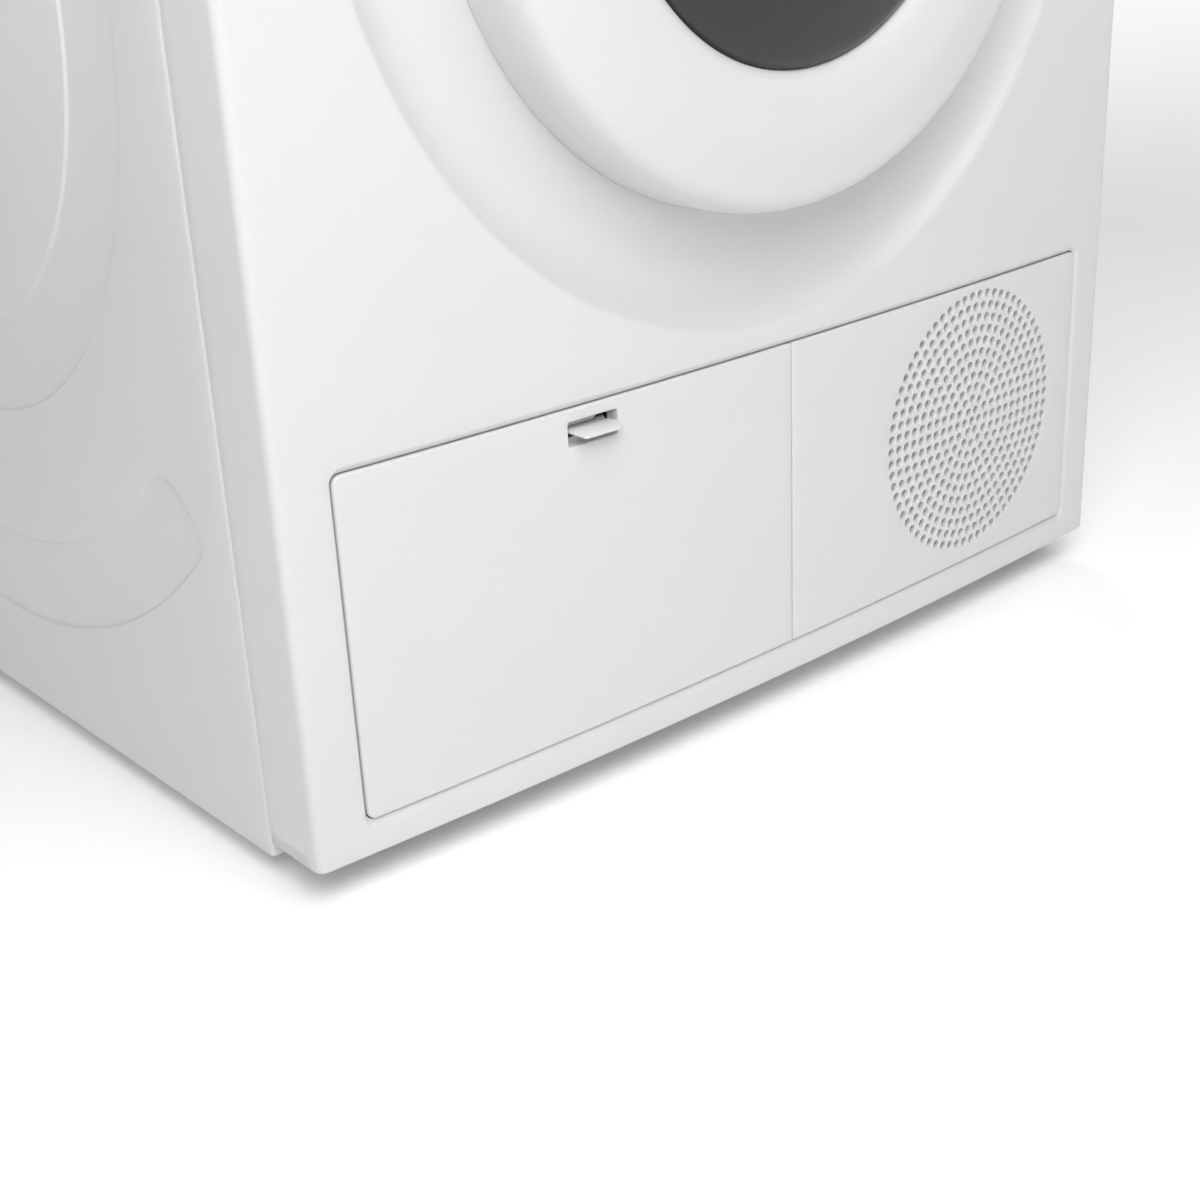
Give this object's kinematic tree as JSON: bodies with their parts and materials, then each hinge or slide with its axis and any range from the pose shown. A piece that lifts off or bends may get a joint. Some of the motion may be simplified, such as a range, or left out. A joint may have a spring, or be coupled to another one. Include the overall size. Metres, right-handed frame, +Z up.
{
  "type": "clothes dryer",
  "caption": "White freestanding condenser tumble dryer: bowed front with dished round door, service flap with latch, round vent grille, drum, motor, belt and water tank.",
  "frame": {"origin": "middle of the base on the floor, under the centre of the overall box", "axes": "+Z up, front faces -Y, +X to the right seen from the front"},
  "size_m": [0.598, 0.64, 0.845],
  "materials": {
    "white_steel": "white enamel, satin gloss",
    "white_plastic": "white moulded plastic, fine satin",
    "grey_plastic": "grey moulded plastic",
    "dark_plastic": "black moulded plastic",
    "tank_plastic": "milky moulded plastic",
    "drum_steel": "brushed stainless steel",
    "zinc_steel": "zinc coated steel",
    "fins": "bare aluminium fins",
    "rubber": "black rubber",
    "seal_rubber": "grey rubber",
    "felt": "pressed wool felt",
    "smoked_glass": "smoked clear plastic",
    "clear_glass": "clear pressed glass",
    "display": "black display window",
    "circuit_board": "green solder mask"
  },
  "bodies": {
    "cabinet": {"base_tray": "grey_plastic", "side_panel_left": "white_steel", "side_panel_right": "white_steel", "rear_panel": "zinc_steel", "rear_duct_cover": "zinc_steel", "worktop": "white_plastic", "front_panel": "white_steel", "plinth_frame": "white_plastic", "vent_grille": "white_plastic", "control_fascia": "white_plastic", "display_window": "display", "control_board": "circuit_board", "door_hinge": "zinc_steel", "door_hinge_pin": "zinc_steel", "door_lock": "dark_plastic", "front_bulkhead": "zinc_steel", "felt_seal": "felt", "lint_filter": "white_plastic", "rear_bearing": "zinc_steel", "roller_axle_left": "zinc_steel", "roller_axle_right": "zinc_steel", "drive_belt": "rubber", "motor": "zinc_steel", "fan_housing": "grey_plastic", "heat_exchanger": "fins", "condensate_pump": "dark_plastic", "heater": "zinc_steel", "cable_inlet": "dark_plastic"},
    "door": {"door_ring": "white_plastic", "door_window": "smoked_glass", "door_inner_frame": "white_plastic", "door_bowl": "clear_glass", "door_seal": "seal_rubber", "door_hinge_arm": "zinc_steel"},
    "drum": {"drum_shell": "drum_steel", "drum_rear_wall": "drum_steel", "drum_lifter_1": "grey_plastic", "drum_lifter_2": "grey_plastic", "drum_lifter_3": "grey_plastic", "drum_shaft": "zinc_steel"},
    "roller_left": {"support_roller_left": "seal_rubber"},
    "roller_right": {"support_roller_right": "seal_rubber"},
    "rotor": {"motor_shaft": "zinc_steel", "fan_wheel": "dark_plastic"},
    "tension_arm": {"tension_arm": "zinc_steel"},
    "tension_pulley": {"tension_pulley": "dark_plastic"},
    "flap": {"service_flap": "white_plastic"},
    "lever": {"latch_lever": "white_plastic"},
    "tank": {"condensate_tank": "tank_plastic", "tank_front": "white_plastic"},
    "dial": {"program_dial": "white_plastic"},
    "power_key": {"power_key": "white_plastic"},
    "start_key": {"start_key": "white_plastic"},
    "option_key": {"option_key": "white_plastic"},
    "lock_left": {"exchanger_lock_left": "dark_plastic"},
    "lock_right": {"exchanger_lock_right": "dark_plastic"},
    "foot_front_left": {"foot_front_left": "rubber"},
    "foot_front_right": {"foot_front_right": "rubber"},
    "foot_rear_left": {"foot_rear_left": "rubber"},
    "foot_rear_right": {"foot_rear_right": "rubber"}
  },
  "joints": [
    {"name": "door_swing", "type": "hinge", "parent": "cabinet", "child": "door", "pos_m": [0.196, -0.292, 0.47], "axis": [0, 0, 1], "range_deg": [0, 150]},
    {"name": "drum_spin", "type": "hinge", "parent": "cabinet", "child": "drum", "pos_m": [0, 0, 0.484], "axis": [0, 1, 0], "continuous": true},
    {"name": "roller_left_spin", "type": "hinge", "parent": "cabinet", "child": "roller_left", "pos_m": [-0.18245, -0.204, 0.23288], "axis": [0, 1, 0], "continuous": true},
    {"name": "roller_right_spin", "type": "hinge", "parent": "cabinet", "child": "roller_right", "pos_m": [0.18245, -0.204, 0.23288], "axis": [0, 1, 0], "continuous": true},
    {"name": "rotor_spin", "type": "hinge", "parent": "cabinet", "child": "rotor", "pos_m": [0.15, 0, 0.098], "axis": [0, 1, 0], "continuous": true},
    {"name": "tension_arm_swing", "type": "hinge", "parent": "cabinet", "child": "tension_arm", "pos_m": [0.04, -0.054, 0.06], "axis": [0, 1, 0], "range_deg": [-6, 0], "stiffness_Nm_per_rad": 2, "springref_deg": 5.73},
    {"name": "tension_pulley_spin", "type": "hinge", "parent": "tension_arm", "child": "tension_pulley", "pos_m": [0.0534, -0.036, 0.12], "axis": [0, 1, 0], "continuous": true},
    {"name": "flap_tilt", "type": "hinge", "parent": "cabinet", "child": "flap", "pos_m": [-0.128, -0.272, 0.06], "axis": [1, 0, 0], "range_deg": [0, 90]},
    {"name": "lever_tilt", "type": "hinge", "parent": "flap", "child": "lever", "pos_m": [-0.127, -0.277, 0.1955], "axis": [1, 0, 0], "range_deg": [-12, 0], "stiffness_Nm_per_rad": 0.05},
    {"name": "tank_slide", "type": "slide", "parent": "cabinet", "child": "tank", "axis": [0, -1, 0], "range_m": [0, 0.4]},
    {"name": "dial_turn", "type": "hinge", "parent": "cabinet", "child": "dial", "pos_m": [0, -0.288, 0.764], "axis": [0, 1, 0], "continuous": true},
    {"name": "power_key_press", "type": "slide", "parent": "cabinet", "child": "power_key", "axis": [0, 1, 0], "range_m": [0, 0.0012], "stiffness_N_per_m": 400},
    {"name": "start_key_press", "type": "slide", "parent": "cabinet", "child": "start_key", "axis": [0, 1, 0], "range_m": [0, 0.0012], "stiffness_N_per_m": 400},
    {"name": "option_key_press", "type": "slide", "parent": "cabinet", "child": "option_key", "axis": [0, 1, 0], "range_m": [0, 0.0012], "stiffness_N_per_m": 400},
    {"name": "lock_left_turn", "type": "hinge", "parent": "cabinet", "child": "lock_left", "pos_m": [-0.232, -0.25, 0.15], "axis": [0, 1, 0], "range_deg": [0, 90]},
    {"name": "lock_right_turn", "type": "hinge", "parent": "cabinet", "child": "lock_right", "pos_m": [-0.046, -0.25, 0.15], "axis": [0, 1, 0], "range_deg": [-90, 0]},
    {"name": "foot_front_left_turn", "type": "hinge", "parent": "cabinet", "child": "foot_front_left", "pos_m": [-0.262, -0.232, 0.01], "axis": [0, 0, 1], "continuous": true},
    {"name": "foot_front_right_turn", "type": "hinge", "parent": "cabinet", "child": "foot_front_right", "pos_m": [0.262, -0.232, 0.01], "axis": [0, 0, 1], "continuous": true},
    {"name": "foot_rear_left_turn", "type": "hinge", "parent": "cabinet", "child": "foot_rear_left", "pos_m": [-0.262, 0.262, 0.01], "axis": [0, 0, 1], "continuous": true},
    {"name": "foot_rear_right_turn", "type": "hinge", "parent": "cabinet", "child": "foot_rear_right", "pos_m": [0.262, 0.262, 0.01], "axis": [0, 0, 1], "continuous": true}
  ],
  "couplings": [
    {"joint": "roller_left_spin", "follows": "drum_spin", "ratio": -8.6875},
    {"joint": "roller_right_spin", "follows": "drum_spin", "ratio": -8.6875},
    {"joint": "rotor_spin", "follows": "drum_spin", "ratio": 23.167},
    {"joint": "tension_pulley_spin", "follows": "drum_spin", "ratio": -23.167}
  ]
}
